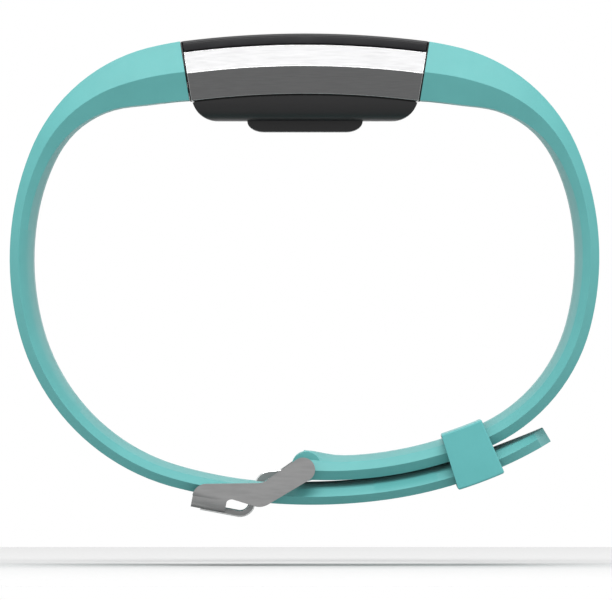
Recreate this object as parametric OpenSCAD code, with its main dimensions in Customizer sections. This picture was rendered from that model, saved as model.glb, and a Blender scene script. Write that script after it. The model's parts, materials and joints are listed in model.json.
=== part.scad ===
// Fitness tracker band, closed as it sits on a wrist.
// The origin is the centre of the wrist opening. +X points to the buckle strap's side, +Y runs along
// the forearm and +Z points out through the display.

/* [Tracker module] */
// Distance from the origin to the top of the display glass
module_top = 37.1; // [36.6:0.1:37.4]
// Radius of the bend that the glass and the case follow
case_bend_r = 140; // [120:5:180]
// Half length of the module at the top of its end faces
module_half = 17.8; // [17.4:0.1:17.9]
// Lean of the end faces from upright, in degrees
seam_tilt = 9.2; // [8:0.1:10]
// Half width of the case at its ridge line
ridge_half = 10.75; // [10.5:0.05:11]
// Thickness of the display glass
glass_t = 1.5; // [1.2:0.1:1.8]
// Height of the facet above the ridge line
upper_facet = 3.2; // [3:0.1:3.4]
// Height of the facet below the ridge line
lower_facet = 4.0; // [3.8:0.1:4.2]
// Thickness of the case's walls
wall = 1.2; // [1:0.1:1.4]

/* [Base and sensor] */
// Height of the underside of the base
base_z = 24.5; // [24.3:0.1:24.9]
// Height of the skin side of the sensor block
sensor_z = 22.9; // [22.7:0.1:23.2]
// Half length of the sensor block where it leaves the base
sensor_half = 8.4; // [8:0.1:9]

/* [Straps] */
// Half width of both straps at their ridge line
strap_half = 10.75; // [10.5:0.05:10.8]
// Radius of the adjustment holes
hole_r = 1.85; // [1.7:0.05:2]
// Distance between adjustment holes along the strap
hole_pitch = 6.2; // [5.8:0.1:7]
// Number of adjustment holes between the tongue and the tip
holes_to_tip = 4; // [2:1:4]
// Number of adjustment holes past the tongue
holes_past = 5; // [2:1:6]

/* [Keeper] */
// Angle that the keeper covers along the straps, in degrees
keeper_span = 6.4; // [5:0.1:7]
// Gap between the keeper and the straps
keeper_gap = 0.15; // [0.12:0.01:0.2]

/* [Buckle] */
// Radius of the buckle's cross pin
pin_r = 0.75; // [0.7:0.05:0.8]
// Thickness of each buckle arm
arm_t = 1.2; // [1:0.1:1.3]
// Half width of the tongue
tongue_half = 1.15; // [1:0.05:1.25]
// Thickness of the tongue's tail
tongue_t = 1.0; // [0.9:0.05:1]
// Thickness of the tongue at its elbow
elbow_t = 1.3; // [1:0.05:1.35]

/* [Hidden] */

fit = 0.05;            // small gap between pieces that are assembled
run = 0.04;            // radial running clearance of a hinge
eps = 0.01;
round_fn = 64;

// Radii of the case's layers about the axis of its bend.
glass_r = case_bend_r - glass_t;
ridge_r = glass_r - upper_facet;
rim_r = ridge_r - lower_facet;
bend_z = module_top - case_bend_r;
top_half = 9.1;         // half width at the top of the case
rim_half = 8.85;        // half width at the bottom of the case
seal_t = 0.25;
sweep_half = 9;         // half angle of the case's arcs before the ends are cut, in degrees

// Common centre of the straps where they lie on each other, below the wrist.
lap_c = [3.2, 32];
// Each strap's outer face is a chain of tangent arcs, [radius, degrees], that ends at the module.
hole_chain = [[62.9, 23.2], [79.3, 22.2], [31.4, 60.7], [41.8, 37], [24.9, 54.8], [59.8, 4]];
buckle_chain = [[59.5, 26.1], [26, 52.9], [40.8, 36.6], [25.1, 54.8], [58, 4]];
tip_angle = 31;         // where the hole strap's tip lies about lap_c
pin_angle = -3.5;       // where the buckle strap starts about lap_c

// Section sizes: [distance, outer facet, inner facet, crown, bevel]. The shoulder's distances run
// from the module, the tails' from the far end of each strap.
shoulder = [[0, 4.5, 4.1, 0, 1.7], [8, 4.0, 3.75, 0, 1.6], [15, 3.0, 2.8, 0, 1.4],
            [22, 2.05, 2.0, 0.25, 1.2], [29, 1.5, 1.45, 0.7, 1.05], [37, 1.28, 1.15, 0.98, 1]];
hole_tail = [[80, 1.25, 1.1, 1.0, 1], [60, 1.2, 1.12, 0.8, 1], [50, 1.16, 1.14, 0.65, 1],
             [42, 1.16, 1.14, 0.68, 1], [36, 1.16, 1.14, 0.93, 1], [14, 1.16, 1.14, 0.98, 1],
             [6, 1.2, 1.12, 0.6, 1], [0, 1.3, 0.9, 0.1, 0.9]];
buckle_tail = [[45, 1.3, 1.2, 0.9, 1], [28, 1.33, 1.25, 0.82, 1], [8, 1.33, 1.25, 0.82, 1],
               [4.5, 1.33, 1.3, 0.95, 0.95], [2, 1.38, 1.45, 1.2, 0.85], [0, 1.4, 1.5, 1.25, 0.8]];
crown_in = 2.4;         // how far the crown's slope runs in from each edge
ring_step = 1.6;        // distance between the rings of a strap
tip_round = 7;          // length over which the tip narrows
tip_narrow = 0.5;       // share of the width that is left at the end of the tip

pin_c = [-0.29, -25.96];
eye_c = [0.2, -25.5];
eye_r = 2.12;
tongue_slot = tongue_half + 0.35;
tongue_s = 44.8;        // distance of the tongue's hole from the tip
bar_tilt = 11;          // lean of the buckle's front bar, in degrees
arm_in = strap_half + 0.3;
arm_out = arm_in + arm_t;
pin_half = arm_in + 0.65 * arm_t;   // the pin ends inside blind holes in the arms

connector_half = 7;
connector_t = 2.0;
latch_travel = 0.8;

// ---- Paths ----
function arc_step(p, h, r, a, turn) =
    let (c = p + turn * r * [-sin(h), cos(h)], g = h + turn * a)
    concat(c + turn * r * [sin(g), -cos(g)], [g]);

// [x, z, heading] at a distance along a chain of arcs. turn is 1 to the left and -1 to the right.
function walk(p, h, chain, turn, s, i = 0) =
    let (r = chain[i][0], full = r * chain[i][1] * PI / 180, last = i == len(chain) - 1)
    s <= full || last
        ? arc_step(p, h, r, s / r * 180 / PI, turn)
        : let (q = arc_step(p, h, r, chain[i][1], turn))
          walk([q[0], q[1]], q[2], chain, turn, s - full, i + 1);

function chain_length(chain, i = 0) =
    i == len(chain) ? 0 : chain[i][0] * chain[i][1] * PI / 180 + chain_length(chain, i + 1);

function on_lap(r, a) = lap_c + r * [sin(a), -cos(a)];

hole_length = chain_length(hole_chain);
buckle_length = chain_length(buckle_chain);
function hole_at(s) = walk(on_lap(hole_chain[0][0], tip_angle), tip_angle + 180, hole_chain, -1, s);
function buckle_at(s) = walk(on_lap(buckle_chain[0][0], pin_angle), pin_angle, buckle_chain, 1, s);

// ---- Sections ----
function key_slope(keys, i) =
    let (a = keys[max(i - 1, 0)], b = keys[min(i + 1, len(keys) - 1)]) (b - a) / (b[0] - a[0]);

// A smooth curve through the keys: cubic between two keys, with one slope at each key.
function at_key(keys, u, i = 0) =
    u <= keys[0][0] ? keys[0]
    : i == len(keys) - 1 ? keys[i]
    : u > keys[i + 1][0] ? at_key(keys, u, i + 1)
    : let (gap = keys[i + 1][0] - keys[i][0], t = (u - keys[i][0]) / gap)
      (1 + 2 * t) * pow(1 - t, 2) * keys[i] + t * t * (3 - 2 * t) * keys[i + 1]
      + gap * t * pow(1 - t, 2) * key_slope(keys, i) - gap * t * t * (1 - t) * key_slope(keys, i + 1);

// Half section as [half width, depth below the outer face] from the outer face to the crown.
function half_section(k, w) =
    [[w - k[4], 0], [w, k[1]], [w - k[4], k[1] + k[2]], [w - k[4] - crown_in * w / strap_half,
      k[1] + k[2] + max(k[3], 0.02)]];

function ring(f, turn, half) =
    let (n = turn * [-sin(f[2]), cos(f[2])], m = len(half))
    [for (i = [0 : 2 * m - 1])
        let (q = i < m ? half[i] : half[2 * m - 1 - i], side = i < m ? 1 : -1)
        [f[0] + q[1] * n[0], side * q[0], f[1] + q[1] * n[1]]];

// A closed sweep through rings that all have m points.
module sweep(rings, flip) {
    m = len(rings[0]);
    last = len(rings) - 1;
    points = [for (r = rings) for (p = r) p];
    sides = [for (k = [0 : last - 1]) for (i = [0 : m - 1])
        let (a = k * m + i, b = k * m + (i + 1) % m)
        for (f = [[a, b, b + m], [a, b + m, a + m]]) f];
    caps = [[for (i = [m - 1 : -1 : 0]) i], [for (i = [0 : m - 1]) last * m + i]];
    faces = concat(sides, caps);
    polyhedron(points, [for (f = faces) flip ? f : [for (i = [len(f) - 1 : -1 : 0]) f[i]]]);
}

// ---- Shared placing ----
// Bends a (radius, y) outline about the case's axis.
module case_arc(outline, half_angle = sweep_half) {
    translate([0, 0, bend_z])
        rotate([90, 0, 0])
            rotate([0, 0, 90 - half_angle])
                rotate_extrude(angle = 2 * half_angle, $fn = 180) polygon(outline);
}

// The space between the module's two end faces, moved in by inset.
module between_ends(inset = 0) {
    z_ref = module_top - 1.2;
    high = 8;
    low = 14;
    rotate([90, 0, 0])
        linear_extrude(40, center = true)
            polygon([for (c = [[1, high], [-1, high], [-1, -low], [1, -low]])
                [c[0] * (module_half - inset + c[1] * tan(seam_tilt)), z_ref + c[1]]]);
}

// Local frame of an end face: x out of the module, z up along the face, origin on the ridge line.
module at_seam(side) {
    mirror([side < 0 ? 1 : 0, 0, 0])
        translate([module_half - 4.6 * tan(seam_tilt), 0, module_top - 5.8])
            rotate([0, seam_tilt, 0]) children();
}

module block(x0, x1, half_y, z0, z1) {
    translate([x0, -half_y, z0]) cube([x1 - x0, 2 * half_y, z1 - z0]);
}

module y_cylinder(c, r, half_y) {
    translate([c[0], 0, c[1]]) rotate([90, 0, 0]) cylinder(r = r, h = 2 * half_y, center = true, $fn = round_fn);
}

// ---- Tracker module ----
function case_outline(r0, r1, inset) =
    [[r0, top_half - inset], [ridge_r, ridge_half - inset], [r1, rim_half - inset],
     [r1, inset - rim_half], [ridge_r, inset - ridge_half], [r0, inset - top_half]];
function band(r0, r1, half) = [[r0, half], [r1, half], [r1, -half], [r0, -half]];

module display_glass() {
    edge = 0.35;
    color("black")
        intersection() {
            case_arc([[glass_r, top_half], [case_bend_r - edge, top_half - 0.45],
                      [case_bend_r, top_half - 0.9], [case_bend_r, 0.9 - top_half],
                      [case_bend_r - edge, 0.45 - top_half], [glass_r, -top_half]]);
            between_ends();
        }
}

module display_adhesive() {
    color("dimgray")
        difference() {
            intersection() {
                case_arc(band(glass_r - 0.15, glass_r - eps, top_half - 0.4));
                between_ends(0.4);
            }
            case_arc(band(glass_r - 1, glass_r + 1, top_half - 1.2), 6.6);
        }
}

module display_panel() {
    color("midnightblue")
        case_arc(band(glass_r - 1.1, glass_r - 0.2, top_half - 1.4), 6.2);
}

module button_hole(grow) {
    for (x = [-2.2, 2.2])
        translate([x, 8, ridge_z]) rotate([-90, 0, 0]) cylinder(r = 1 + grow, h = 4, $fn = round_fn);
    translate([-2.2, 8, ridge_z - 1 - grow]) cube([4.4, 4, 2 + 2 * grow]);
}
ridge_z = bend_z + ridge_r;

module case_frame() {
    color("silver")
        difference() {
            intersection() {
                case_arc(case_outline(glass_r - 0.16, rim_r, 0));
                between_ends();
            }
            intersection() {
                case_arc(case_outline(glass_r + 1, rim_r - 1, wall));
                between_ends(wall);
            }
            button_hole(0.08);
            for (side = [-1, 1])
                at_seam(side) {
                    block(-3, 1, connector_half + 0.1, -connector_t / 2 - 0.1, connector_t / 2 + 0.1);
                    block(-3, 1, 2.1, -2.95, -1.75);
                }
        }
}

module case_seal() {
    color("black")
        difference() {
            intersection() {
                case_arc(band(rim_r - seal_t, rim_r - eps, rim_half - 0.35));
                between_ends(0.35);
            }
            intersection() {
                case_arc(band(rim_r - 1, rim_r + 1, rim_half - wall));
                between_ends(wall);
            }
        }
}

// Side outline of the base: the case's bend on top and round ends below.
base_flat = 12.6;
base_end = 16.35;
base_corner = 3.4;
module base_shape(inset) {
    top_z = bend_z + rim_r - seal_t;
    intersection() {
        case_arc(band(rim_r - 12, rim_r - seal_t - eps - inset, rim_half), 9);
        rotate([90, 0, 0])
            linear_extrude(2 * rim_half, center = true)
                polygon(concat(
                    [for (a = [0 : 6 : 90]) [base_flat + (base_end - base_flat - inset) * cos(a),
                        base_z + base_corner - (base_corner - inset) * sin(a)]],
                    [for (a = [90 : -6 : 0]) [-base_flat - (base_end - base_flat - inset) * cos(a),
                        base_z + base_corner - (base_corner - inset) * sin(a)]],
                    [[inset - base_end, top_z + 1], [base_end - inset, top_z + 1]]));
        rotate([90, 0, 90])
            linear_extrude(40, center = true)
                polygon(concat(
                    [for (a = [0 : 10 : 90]) [6 + (rim_half - 6.2 - inset) * cos(a),
                        base_z + 2.6 - (2.6 - inset) * sin(a)]],
                    [for (a = [90 : -10 : 0]) [-6 - (rim_half - 6.2 - inset) * cos(a),
                        base_z + 2.6 - (2.6 - inset) * sin(a)]],
                    [[0.2 + inset - rim_half, top_z + 1], [rim_half - 0.2 - inset, top_z + 1]]));
    }
}

module base_cover() {
    color("#222222")
        difference() {
            base_shape(0);
            base_shape(wall);
            block(-11.8, 11.8, 6.2, base_z + wall, module_top);
            block(-sensor_half, sensor_half, sensor_half_y, base_z - 1, base_z + 3);
            at_contacts() cylinder(r = contact_r + fit, h = 4, center = true, $fn = round_fn);
        }
}

contact_r = 0.7;
module at_contacts() {
    for (y = [-2.6, 0, 2.6])
        translate([10.3, y, base_z]) children();
}

module inner_chassis() {
    color("gray")
        difference() {
            block(-14.6, 14.6, 6.7, 31.55, 32.05);
            block(-4, 4, 4, 31, 33);
        }
}

module main_board() {
    color("darkgreen")
        union() {
            block(-14.2, 14.2, 6.8, 32.1, 32.7);
            for (x = [-9, 0, 8])
                block(x - 2, x + 2, 2.2, 32.7, 33.5);
        }
}

module battery() {
    color("gold") block(-13.5, 3.6, 6.2, 28.1, 31.5);
}

module vibration_motor() {
    color("silver")
        translate([9, 0, 28.1]) cylinder(r = 4, h = 2.7, $fn = round_fn);
}

module side_button() {
    color("silver")
        union() {
            intersection() {
                button_hole(0);
                translate([-5, 8.9, ridge_z - 3]) cube([10, ridge_half + 0.35 - 8.9, 6]);
            }
            translate([-3.6, 8.6, ridge_z - 0.7]) cube([7.2, 0.5, 1.4]);
            translate([-0.6, 8.2, ridge_z - 0.6]) cube([1.2, 0.5, 1.2]);
        }
}

module button_switch() {
    color("dimgray") translate([-2, 6.9, ridge_z - 1.1]) cube([4, 0.9, 2.2]);
}

// ---- Sensor block ----
sensor_half_y = 6;
sensor_round = [2.4, 1.5];      // how far the lower corners round in and up
module sensor_shape(half_x, half_y, z0, z1) {
    rx = sensor_round[0];
    rz = sensor_round[1];
    rotate([90, 0, 0])
        linear_extrude(2 * half_y, center = true)
            polygon(concat(
                [for (a = [0 : 10 : 90]) [half_x - rx + rx * cos(a), z0 + rz - rz * sin(a)]],
                [for (a = [90 : -10 : 0]) [rx - half_x - rx * cos(a), z0 + rz - rz * sin(a)]],
                [[-half_x, z1], [half_x, z1]]));
}

module sensor_housing() {
    color("#1a1a1a")
        difference() {
            sensor_shape(sensor_half - fit, sensor_half_y - fit, sensor_z, base_z + 1.1);
            block(-5, 5, 4, sensor_z - 1, sensor_z + 0.5);
            block(-4.2, 4.2, 3.2, sensor_z, base_z + 3);
        }
}

module sensor_window() {
    color("darkslategray") block(fit - 5, 5 - fit, 4 - fit, sensor_z + 0.05, sensor_z + 0.5 - eps);
}

module sensor_leds() {
    color("lime")
        for (x = [-3, 3])
            block(x - 0.7, x + 0.7, 0.7, sensor_z + 0.8, base_z + 1.1);
}

module photodiode() {
    color("purple") block(-1.3, 1.3, 1.3, sensor_z + 0.9, base_z + 1.1);
}

module sensor_board() {
    color("darkgreen") block(-6.4, 6.4, 5, base_z + 1.15, base_z + 1.7);
}

module charging_contacts() {
    color("gold")
        at_contacts() translate([0, 0, 0.1]) cylinder(r = contact_r, h = 1.6, $fn = round_fn);
}

// ---- Strap connectors and latches ----
// A moulded core in the strap's end, with a thin flange that shows as the dark seam line.
module connector(side) {
    color("#181818")
        union() {
            at_seam(side) block(-1.1, 5, connector_half, -connector_t / 2, connector_t / 2);
            intersection() {
                case_arc(case_outline(case_bend_r - 0.05, rim_r, 0.12));
                at_seam(side)
                    difference() {
                        block(0.03, 0.2, ridge_half, -5, 6);
                        block(-1, 1, 2.2, -6, -1.6);
                    }
            }
        }
}

module connector_left() {
    connector(-1);
}

module connector_right() {
    connector(1);
}

module latch(side) {
    color("#2a2a2a")
        at_seam(side)
            union() {
                block(0.9, 3.2, 2.6, -3.45, -1.95);
                block(-0.8, 1, 1.9, -2.8, -1.95);
            }
}

module latch_left() {
    latch(-1);
}

module latch_right() {
    latch(1);
}

// A flat spring bent into a U, behind the latch.
module latch_spring(side) {
    leaf = 0.15;
    color("silver")
        at_seam(side)
            translate([5.1 - leaf, 0, -2.9])
                difference() {
                    block(-0.9, leaf, 1.4, -0.7, 0.7);
                    block(leaf - 0.9, 0, 1.5, leaf - 0.7, 1);
                }
}

module latch_spring_left() {
    latch_spring(-1);
}

module latch_spring_right() {
    latch_spring(1);
}

// Room in a strap's end for its connector, latch and spring.
module connector_room(side) {
    at_seam(side) {
        block(-2, 5.05, connector_half + 0.05, -connector_t / 2 - 0.05, connector_t / 2 + 0.05);
        block(-2, 3.3 + latch_travel, 2.7, -9, -1.85);
        block(-2, 5.2, 1.6, -3.8, -1.85);
    }
}

// ---- Straps ----
function from_module(tail, length) = [for (k = tail) [length - k[0], k[1], k[2], k[3], k[4]]];
hole_keys = concat(shoulder, from_module(hole_tail, hole_length));
buckle_keys = concat(shoulder, from_module(buckle_tail, buckle_length));

function tip_width(s) =
    s >= tip_round ? strap_half
    : strap_half * (tip_narrow + (1 - tip_narrow) * sqrt(1 - pow(1 - s / tip_round, 2)));

module hole_strap() {
    count = ceil(hole_length / ring_step);
    rings = [for (i = [0 : count])
        let (s = hole_length * i / count)
        ring(hole_at(s), -1, half_section(at_key(hole_keys, hole_length - s), tip_width(s)))];
    color("#62b9ba")
        difference() {
            sweep(rings, true);
            connector_room(-1);
            for (k = [-holes_to_tip : holes_past])
                let (f = hole_at(tongue_s + k * hole_pitch))
                translate([f[0], 0, f[1]])
                    rotate([0, -f[2] - 180, 0])
                        cylinder(r = hole_r, h = 12, center = true, $fn = round_fn);
        }
}

module buckle_strap() {
    count = ceil(buckle_length / ring_step);
    rings = [for (i = [0 : count])
        let (s = buckle_length * i / count)
        ring(buckle_at(s), 1, half_section(at_key(buckle_keys, buckle_length - s), strap_half))];
    color("#62b9ba")
        difference() {
            union() {
                sweep(rings, false);
                y_cylinder(eye_c, eye_r, strap_half - 0.9);
            }
            connector_room(1);
            y_cylinder(pin_c, pin_r + run, strap_half + 1);
            block(-4, 3, tongue_slot, -29, -22);
        }
}

// ---- Keeper ----
keeper_angle = 20.5;
keeper_in = 56.1 - keeper_gap;
keeper_out = 62.9 + keeper_gap;
module keeper() {
    half_in = strap_half + keeper_gap;
    half_out = half_in + 1.15;
    color("#62c4c4")
        translate([lap_c[0], 0, lap_c[1]])
            rotate([90, 0, 0])
                rotate([0, 0, keeper_angle - 90 - keeper_span / 2])
                    rotate_extrude(angle = keeper_span, $fn = 180)
                        difference() {
                            translate([keeper_in - 0.55, -half_out])
                                square([keeper_out - keeper_in + 1.3, 2 * half_out]);
                            translate([keeper_in, -half_in]) square([keeper_out - keeper_in, 2 * half_in]);
                        }
}

// ---- Buckle ----
function arc_points(c, r, a0, a1, n) = [for (i = [0 : n]) c + r * [cos(a0 + (a1 - a0) * i / n),
    sin(a0 + (a1 - a0) * i / n)]];

arm_end_r = 1.75;
arm_outline = concat(
    arc_points(pin_c, arm_end_r, -52, 128, 16),
    arc_points([-6.75, -25.9], 2, -58, -90, 4),
    arc_points([-14.3, -30], 2, 92, 170, 8),
    [[-16.6, -31.25]],
    [[-11.75, -32.2]],
    arc_points([-10.6, -31.2], 0.95, 180, 80, 6),
    arc_points([-6.6, -28.9], 2.45, -100, -60, 6));

module arm_plates(half_in, half_out) {
    for (side = [0, 1])
        mirror([0, side, 0])
            translate([0, half_out, 0])
                rotate([90, 0, 0]) linear_extrude(half_out - half_in) polygon(arm_outline);
}

// The front bar across the outside of the straps, with round lower corners.
bar_c = [-14.1, -31.75];
bar_t = 1.75;
module front_bar() {
    corner = 1.65;
    translate([bar_c[0], 0, bar_c[1]])
        rotate([0, bar_tilt, 0])
            rotate([90, 0, 90])
                linear_extrude(4.94, center = true)
                    polygon(concat(
                        arc_points([arm_out - corner, corner], corner, 0, -90, 6),
                        arc_points([corner - arm_out, corner], corner, -90, -180, 6),
                        [[-arm_out, bar_t]],
                        [[arm_out, bar_t]]));
}

module buckle_frame() {
    color("#9a9a9a")
        difference() {
            union() {
                intersection() {
                    arm_plates(arm_in, arm_out);
                    translate([bar_c[0], 0, bar_c[1]])
                        rotate([0, bar_tilt, 0])
                            block(-10, 30, arm_out + 1, bar_t - 0.1, 20);
                }
                front_bar();
            }
            y_cylinder(pin_c, pin_r + 0.02, pin_half + fit);
            translate([bar_c[0], 0, bar_c[1]])
                rotate([0, bar_tilt, 0])
                    block(-1.9, 5, tongue_slot + 0.3, -1, 0.95);
        }
}

module buckle_pin() {
    color("#8c8c8c") y_cylinder(pin_c, pin_r, pin_half);
}

// Middle line of the tongue, from its eye through the strap to the front bar, with its half
// thickness at each point: thick at the elbow on the wrist side and thin in the tail.
elbow = arc_points([-5.1, -28.5], 1.6, 95, 155, 6);
hook = arc_points([-9.4, -30.65], 1.75, -5, -98, 8);
tail_end = [-15.2, -31.35];
tongue_line = concat([[-1.2, -26.3]], elbow, hook, [tail_end]);
tongue_half_t = concat([0.5], [for (p = elbow) elbow_t / 2], [for (p = hook) tongue_t / 2], [tongue_t / 2]);

function unit(v) = v / norm(v);
function side_of(line, i) =
    let (a = line[max(i - 1, 0)], b = line[min(i + 1, len(line) - 1)], t = unit(b - a)) [-t[1], t[0]];
function stroke(line, half) = concat(
    [for (i = [0 : len(line) - 1]) line[i] + half[i] * side_of(line, i)],
    [for (i = [len(line) - 1 : -1 : 0]) line[i] - half[i] * side_of(line, i)]);

module buckle_tongue() {
    color("#9a9a9a")
        difference() {
            union() {
                rotate([90, 0, 0])
                    linear_extrude(2 * tongue_half, center = true) polygon(stroke(tongue_line, tongue_half_t));
                y_cylinder(pin_c, 1.45, tongue_half);
            }
            y_cylinder(pin_c, pin_r + run, 4);
        }
}

display_glass();
display_adhesive();
display_panel();
case_frame();
case_seal();
base_cover();
inner_chassis();
main_board();
battery();
vibration_motor();
side_button();
button_switch();
sensor_housing();
sensor_window();
sensor_leds();
photodiode();
sensor_board();
charging_contacts();
connector_left();
connector_right();
latch_left();
latch_right();
latch_spring_left();
latch_spring_right();
hole_strap();
buckle_strap();
keeper();
buckle_frame();
buckle_pin();
buckle_tongue();
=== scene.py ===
"""A fitness tracker band, closed as on a wrist: looks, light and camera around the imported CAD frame."""

import json
import math

import bmesh
import bpy
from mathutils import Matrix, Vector


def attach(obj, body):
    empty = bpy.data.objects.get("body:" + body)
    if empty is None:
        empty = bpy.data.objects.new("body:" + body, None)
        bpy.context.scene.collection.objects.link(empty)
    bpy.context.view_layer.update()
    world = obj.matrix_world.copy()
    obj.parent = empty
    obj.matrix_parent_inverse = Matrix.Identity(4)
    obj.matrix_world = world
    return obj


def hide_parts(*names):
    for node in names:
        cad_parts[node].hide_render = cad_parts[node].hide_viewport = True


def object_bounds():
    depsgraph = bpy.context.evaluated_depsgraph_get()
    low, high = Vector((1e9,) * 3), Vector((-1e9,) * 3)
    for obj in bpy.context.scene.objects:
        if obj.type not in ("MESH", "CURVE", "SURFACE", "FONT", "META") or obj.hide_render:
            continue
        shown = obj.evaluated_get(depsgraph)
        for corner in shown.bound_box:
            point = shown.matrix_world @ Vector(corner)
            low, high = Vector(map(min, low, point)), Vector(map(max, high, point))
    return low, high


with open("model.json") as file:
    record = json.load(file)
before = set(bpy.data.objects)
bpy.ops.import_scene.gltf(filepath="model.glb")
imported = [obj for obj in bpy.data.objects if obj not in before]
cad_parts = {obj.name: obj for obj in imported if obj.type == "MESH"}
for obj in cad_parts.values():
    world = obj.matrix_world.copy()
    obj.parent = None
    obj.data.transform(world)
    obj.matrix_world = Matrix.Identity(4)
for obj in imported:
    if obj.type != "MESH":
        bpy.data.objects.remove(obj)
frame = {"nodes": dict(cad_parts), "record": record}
cad_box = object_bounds()
NODES = frame["nodes"]
MM = 0.001


# ---- Material helpers ----
def new_material(name, color, roughness, metallic=0.0, **sockets):
    """A principled material with its constants on the shader's own sockets."""
    mat = bpy.data.materials.new(name)
    mat.use_nodes = True
    shader = mat.node_tree.nodes["Principled BSDF"]
    shader.inputs["Base Color"].default_value = (*color, 1)
    shader.inputs["Roughness"].default_value = roughness
    shader.inputs["Metallic"].default_value = metallic
    for key, value in sockets.items():
        shader.inputs[key.replace("_", " ")].default_value = value
    return mat


def add(mat, kind, **inputs):
    """A new node, with its named inputs set."""
    made = mat.node_tree.nodes.new(kind)
    for key, value in inputs.items():
        made.inputs[key.replace("_", " ")].default_value = value
    return made


def shader_of(mat):
    """The principled shader of a material."""
    return mat.node_tree.nodes["Principled BSDF"]


def grain(mat, scale, stretch=(1, 1, 1), detail=3.0):
    """Noise in the object's own coordinates, stretched along the axes where stretch is small."""
    links = mat.node_tree.links
    coords = add(mat, "ShaderNodeTexCoord")
    mapping = add(mat, "ShaderNodeMapping", Scale=stretch)
    noise = add(mat, "ShaderNodeTexNoise", Scale=scale, Detail=detail)
    links.new(coords.outputs["Object"], mapping.inputs["Vector"])
    links.new(mapping.outputs["Vector"], noise.inputs["Vector"])
    return noise.outputs["Fac"]


def bump(mat, height, strength, distance, below=None):
    """Turns a height into the shader's normal, on top of another bump if one is given."""
    links = mat.node_tree.links
    node = add(mat, "ShaderNodeBump", Strength=strength, Distance=distance)
    links.new(height, node.inputs["Height"])
    if below is not None:
        links.new(below.outputs["Normal"], node.inputs["Normal"])
    links.new(node.outputs["Normal"], shader_of(mat).inputs["Normal"])
    return node


def spread(mat, fac, socket, low, high):
    """Drives a scalar socket between two values from a noise."""
    links = mat.node_tree.links
    node = mat.node_tree.nodes.new("ShaderNodeMapRange")
    node.inputs["To Min"].default_value = low
    node.inputs["To Max"].default_value = high
    links.new(fac, node.inputs["Value"])
    links.new(node.outputs["Result"], shader_of(mat).inputs[socket])


def tint(mat, fac, first, second):
    """Varies the base colour between two colours from a noise."""
    links = mat.node_tree.links
    ramp = mat.node_tree.nodes.new("ShaderNodeValToRGB")
    ramp.color_ramp.elements[0].position = 0.35
    ramp.color_ramp.elements[1].position = 0.65
    ramp.color_ramp.elements[0].color = (*first, 1)
    ramp.color_ramp.elements[1].color = (*second, 1)
    links.new(fac, ramp.inputs["Fac"])
    links.new(ramp.outputs["Color"], shader_of(mat).inputs["Base Color"])


# ---- Materials ----
FINE_DEPTH = 0.02 * MM      # depth of brushed lines and of moulded texture


def elastomer(name, first, second, roughness):
    """Satin moulded elastomer: very fine pores and a faint drift of colour."""
    drift_scale = 160
    patch_scale = 900
    pore_scale = 9000
    swell_scale = 500
    pore_depth = 0.03 * MM
    swell_depth = 0.08 * MM
    mat = new_material(name, first, roughness, Specular_IOR_Level=0.42, Sheen_Weight=0.12,
                       Sheen_Roughness=0.5)
    tint(mat, grain(mat, drift_scale), first, second)
    spread(mat, grain(mat, patch_scale), "Roughness", roughness - 0.05, roughness + 0.07)
    pores = bump(mat, grain(mat, pore_scale, detail=2.0), 0.12, pore_depth)
    bump(mat, grain(mat, swell_scale), 0.1, swell_depth, pores)
    return mat


def brushed(name, color, roughness, stretch, strength=0.18):
    """Metal with fine lines along the axis where stretch is small."""
    line_scale = 5200
    streak_scale = 7000
    streak_shade = 0.9
    mat = new_material(name, color, roughness, metallic=1.0)
    lines = grain(mat, line_scale, stretch, detail=4.0)
    spread(mat, lines, "Roughness", roughness - 0.06, roughness + 0.08)
    tint(mat, grain(mat, streak_scale, stretch), color, tuple(streak_shade * c for c in color))
    bump(mat, lines, strength, FINE_DEPTH)
    return mat


def moulded(name, color, roughness, strength=0.1):
    """Injection moulded plastic with a fine even texture."""
    texture_scale = 2600
    mat = new_material(name, color, roughness, Specular_IOR_Level=0.3)
    spread(mat, grain(mat, texture_scale / 6), "Roughness", roughness - 0.04, roughness + 0.06)
    bump(mat, grain(mat, texture_scale), strength, FINE_DEPTH)
    return mat


def polished_glass():
    """Black lens with a smooth, slightly uneven gloss."""
    mat = new_material("display_glass", (0.005, 0.005, 0.006), 0.14, Specular_IOR_Level=0.12)
    spread(mat, grain(mat, 90), "Roughness", 0.11, 0.17)
    return mat


TEAL = elastomer("teal_elastomer", (0.075, 0.305, 0.300), (0.081, 0.322, 0.316), 0.5)
KEEPER_TEAL = elastomer("keeper_elastomer", (0.074, 0.325, 0.325), (0.08, 0.34, 0.34), 0.42)
CASE_STEEL = brushed("case_steel", (0.14, 0.14, 0.141), 0.3, (0.05, 1, 1))
# Rim steel for the case and button edges: a polished finish, and its far lighter colour than the case steel
# is a painted highlight.
RIM_HIGHLIGHT_STEEL = brushed("case_rim_painted_highlight", (0.75, 0.75, 0.75), 0.15, (1, 1, 1), 0.03)
BUCKLE_STEEL = brushed("buckle_steel", (0.3, 0.3, 0.3), 0.36, (0.05, 1, 0.3))
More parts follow.
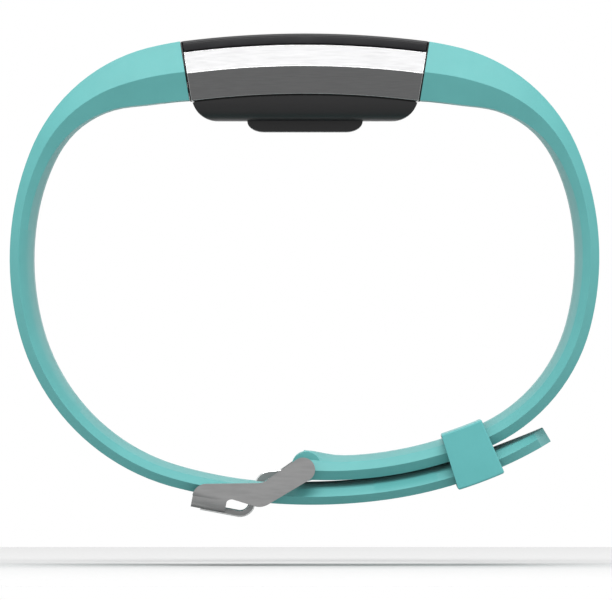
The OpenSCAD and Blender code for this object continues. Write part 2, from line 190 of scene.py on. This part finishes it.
# Edge steel for the buckle's rounded edges: a polished finish, and its near-white colour is a painted
# chamfer highlight.
EDGE_HIGHLIGHT_STEEL = brushed("polished_edge_painted_highlight", (0.9, 0.9, 0.9), 0.1, (1, 1, 1), 0.03)
PIN_STEEL = brushed("pin_steel", (0.45, 0.45, 0.45), 0.25, (1, 0.05, 1))
GLASS = polished_glass()
BASE_BLACK = moulded("base_black", (0.008, 0.008, 0.0085), 0.42)
SEAL_BLACK = moulded("seal_black", (0.006, 0.006, 0.006), 0.7)
WINDOW = moulded("sensor_window", (0.01, 0.014, 0.013), 0.12, strength=0.02)
DARK_PLASTIC = moulded("dark_plastic", (0.03, 0.03, 0.03), 0.5)
BOARD = moulded("circuit_board", (0.01, 0.1, 0.04), 0.4)
FOIL = brushed("battery_foil", (0.7, 0.7, 0.72), 0.35, (1, 1, 1))
GOLD = brushed("contact_gold", (0.85, 0.6, 0.22), 0.22, (1, 1, 1), 0.05)
EMITTER = moulded("green_emitter", (0.05, 0.5, 0.1), 0.25)
PANEL = moulded("display_panel", (0.004, 0.005, 0.009), 0.15, strength=0.02)


# ---- Pieces ----
def body_of(node):
    """The name of the CAD body that holds a node."""
    for body, held in frame["record"]["behaviour"]["bodies"].items():
        if node in held:
            return body
    raise ValueError(node)


MERGE_DISTANCE = 0.01 * MM
FLAT_ANGLE = math.radians(0.4)      # faces that differ by less are one face
EDGE_ANGLE = math.radians(26)       # edges that bend by more are rounded


def cleaned(mesh):
    """Joins doubled vertices and flat neighbours of a mesh, and turns its faces outwards."""
    work = bmesh.new()
    work.from_mesh(mesh)
    bmesh.ops.remove_doubles(work, verts=work.verts, dist=MERGE_DISTANCE)
    bmesh.ops.dissolve_limit(work, angle_limit=FLAT_ANGLE, verts=work.verts, edges=work.edges)
    bmesh.ops.recalc_face_normals(work, faces=work.faces)
    work.to_mesh(mesh)
    work.free()


def round_edges(piece, radius, segments, edge_slot):
    """Rounds a piece's edges and keeps its faces flat. With edge_slot -1 they keep the faces' material."""
    rounding = piece.modifiers.new("rounding", "BEVEL")
    rounding.width = radius * MM
    rounding.segments = segments
    rounding.limit_method = "ANGLE"
    rounding.angle_limit = EDGE_ANGLE
    rounding.material = edge_slot
    rounding.use_clamp_overlap = True
    even = piece.modifiers.new("even_normals", "WEIGHTED_NORMAL")
    even.mode = "FACE_AREA"
    even.weight = 100
    even.keep_sharp = True


def dressed(node, materials, bevel, segments=3, edge_slot=-1):
    """A finished copy of a CAD node: clean faces, rounded edges and smooth shading. It replaces the node."""
    mesh = NODES[node].data.copy()
    cleaned(mesh)
    mesh.materials.clear()
    for mat in materials:
        mesh.materials.append(mat)
    for face in mesh.polygons:
        face.material_index = 0
    piece = bpy.data.objects.new(node + "_finish", mesh)
    bpy.context.scene.collection.objects.link(piece)
    mesh.shade_smooth()
    round_edges(piece, bevel, segments, edge_slot)
    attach(piece, body_of(node))
    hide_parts(node)
    return piece


def recolour(node, material):
    """A CAD node whose shape is right keeps its mesh and gets its material."""
    mesh = NODES[node].data
    mesh.materials.clear()
    mesh.materials.append(material)


# Outer pieces, each with its faces' and edges' materials and the radius of its edges in mm.
dressed("hole_strap", [TEAL], 0.16)
dressed("buckle_strap", [TEAL], 0.16)
dressed("keeper", [KEEPER_TEAL], 0.28, segments=4)
# The case frame's rounded edges take the rim steel, whose light colour is a painted highlight.
dressed("case_frame", [CASE_STEEL, RIM_HIGHLIGHT_STEEL], 0.1, edge_slot=1)
dressed("display_glass", [GLASS], 0.12)
dressed("base_cover", [BASE_BLACK], 0.3, segments=4)
dressed("sensor_housing", [BASE_BLACK], 0.2, segments=4)
# The buckle frame and tongue edges take the edge steel, whose near-white colour is a painted highlight.
dressed("buckle_frame", [BUCKLE_STEEL, EDGE_HIGHLIGHT_STEEL], 0.2, edge_slot=1)
dressed("buckle_tongue", [BUCKLE_STEEL, EDGE_HIGHLIGHT_STEEL], 0.14, edge_slot=1)
# The side button's rounded edges take the rim steel, whose light colour is a painted highlight.
dressed("side_button", [CASE_STEEL, RIM_HIGHLIGHT_STEEL], 0.12, edge_slot=1)

# Inner and small pieces, which keep the CAD mesh.
for shown, material in {
    "case_seal": SEAL_BLACK, "display_adhesive": SEAL_BLACK, "display_panel": PANEL,
    "sensor_window": WINDOW, "inner_chassis": DARK_PLASTIC, "main_board": BOARD, "battery": FOIL,
    "vibration_motor": PIN_STEEL, "button_switch": DARK_PLASTIC, "sensor_leds": EMITTER,
    "photodiode": DARK_PLASTIC, "sensor_board": BOARD, "charging_contacts": GOLD,
    "connector_left": SEAL_BLACK, "connector_right": SEAL_BLACK, "latch_left": DARK_PLASTIC,
    "latch_right": DARK_PLASTIC, "latch_spring_left": PIN_STEEL, "latch_spring_right": PIN_STEEL,
    "buckle_pin": PIN_STEEL,
}.items():
    recolour(shown, material)


# ---- Floor, light and camera ----
# Lengths are in metres here, apart from those multiplied by MM.
FLOOR_DROP = 7 * MM
FLOOR_HALF = 0.22
FLOOR_GREY = (0.45, 0.45, 0.45)
FLOOR_GREY_LIGHT = (0.46, 0.46, 0.46)
ROOM_DARK_BELOW = -0.5      # height of a ray's direction where the room is darkest
ROOM_WHITE_ABOVE = -0.08    # and from where it is white
ROOM_DARK = 0.25
VIEW_WIDTH = 88.74 * MM
VIEW_DISTANCE = 3.0
VIEW_X = 0.145 * MM
VIEW_Z = -1.45 * MM
SENSOR = 36.0


def floor():
    """A plain pale floor a little below the band."""
    z = cad_box[0][2] - FLOOR_DROP
    mesh = bpy.data.meshes.new("floor")
    corners = [(x * FLOOR_HALF, y * FLOOR_HALF, z) for x, y in ((-1, -1), (1, -1), (1, 1), (-1, 1))]
    mesh.from_pydata(corners, [], [(0, 1, 2, 3)])
    made = bpy.data.objects.new("floor", mesh)
    bpy.context.scene.collection.objects.link(made)
    mat = new_material("pale_floor", FLOOR_GREY, 0.9)
    tint(mat, grain(mat, 3), FLOOR_GREY, FLOOR_GREY_LIGHT)
    mesh.materials.append(mat)


def softbox(name, place, width, height, power):
    """A rectangular area light that points at the band."""
    data = bpy.data.lights.new(name, "AREA")
    data.shape = "RECTANGLE"
    data.size = width
    data.size_y = height
    data.energy = power
    made = bpy.data.objects.new(name, data)
    made.location = place
    made.rotation_euler = (-Vector(place)).to_track_quat("-Z", "Y").to_euler()
    bpy.context.scene.collection.objects.link(made)


def light():
    """A white room that darkens below the horizon, with one softbox above the front and one on top."""
    world = bpy.data.worlds.new("room")
    world.use_nodes = True
    nodes = world.node_tree.nodes
    links = world.node_tree.links
    coords = nodes.new("ShaderNodeTexCoord")
    split = nodes.new("ShaderNodeSeparateXYZ")
    height = nodes.new("ShaderNodeMapRange")
    height.inputs["From Min"].default_value = ROOM_DARK_BELOW
    height.inputs["From Max"].default_value = ROOM_WHITE_ABOVE
    height.inputs["To Min"].default_value = ROOM_DARK
    height.inputs["To Max"].default_value = 1.0
    links.new(coords.outputs["Generated"], split.inputs["Vector"])
    links.new(split.outputs["Z"], height.inputs["Value"])
    links.new(height.outputs["Result"], nodes["Background"].inputs["Color"])
    bpy.context.scene.world = world
    softbox("key", place=(0.0, -0.41, 0.57), width=0.6, height=0.2, power=4.2)
    softbox("top", place=(0.0, 0.1, 0.8), width=0.5, height=0.5, power=3.2)


def camera():
    """A long lens, level with the middle of the band, looking along +Y."""
    data = bpy.data.cameras.new("camera")
    data.sensor_width = SENSOR
    data.lens = SENSOR * VIEW_DISTANCE / VIEW_WIDTH
    data.clip_end = 50
    made = bpy.data.objects.new("camera", data)
    made.location = (VIEW_X, -VIEW_DISTANCE, VIEW_Z)
    made.rotation_euler = (math.pi / 2, 0, 0)
    bpy.context.scene.collection.objects.link(made)
    bpy.context.scene.camera = made


floor()
light()
camera()
bpy.context.scene.view_settings.view_transform = "Standard"
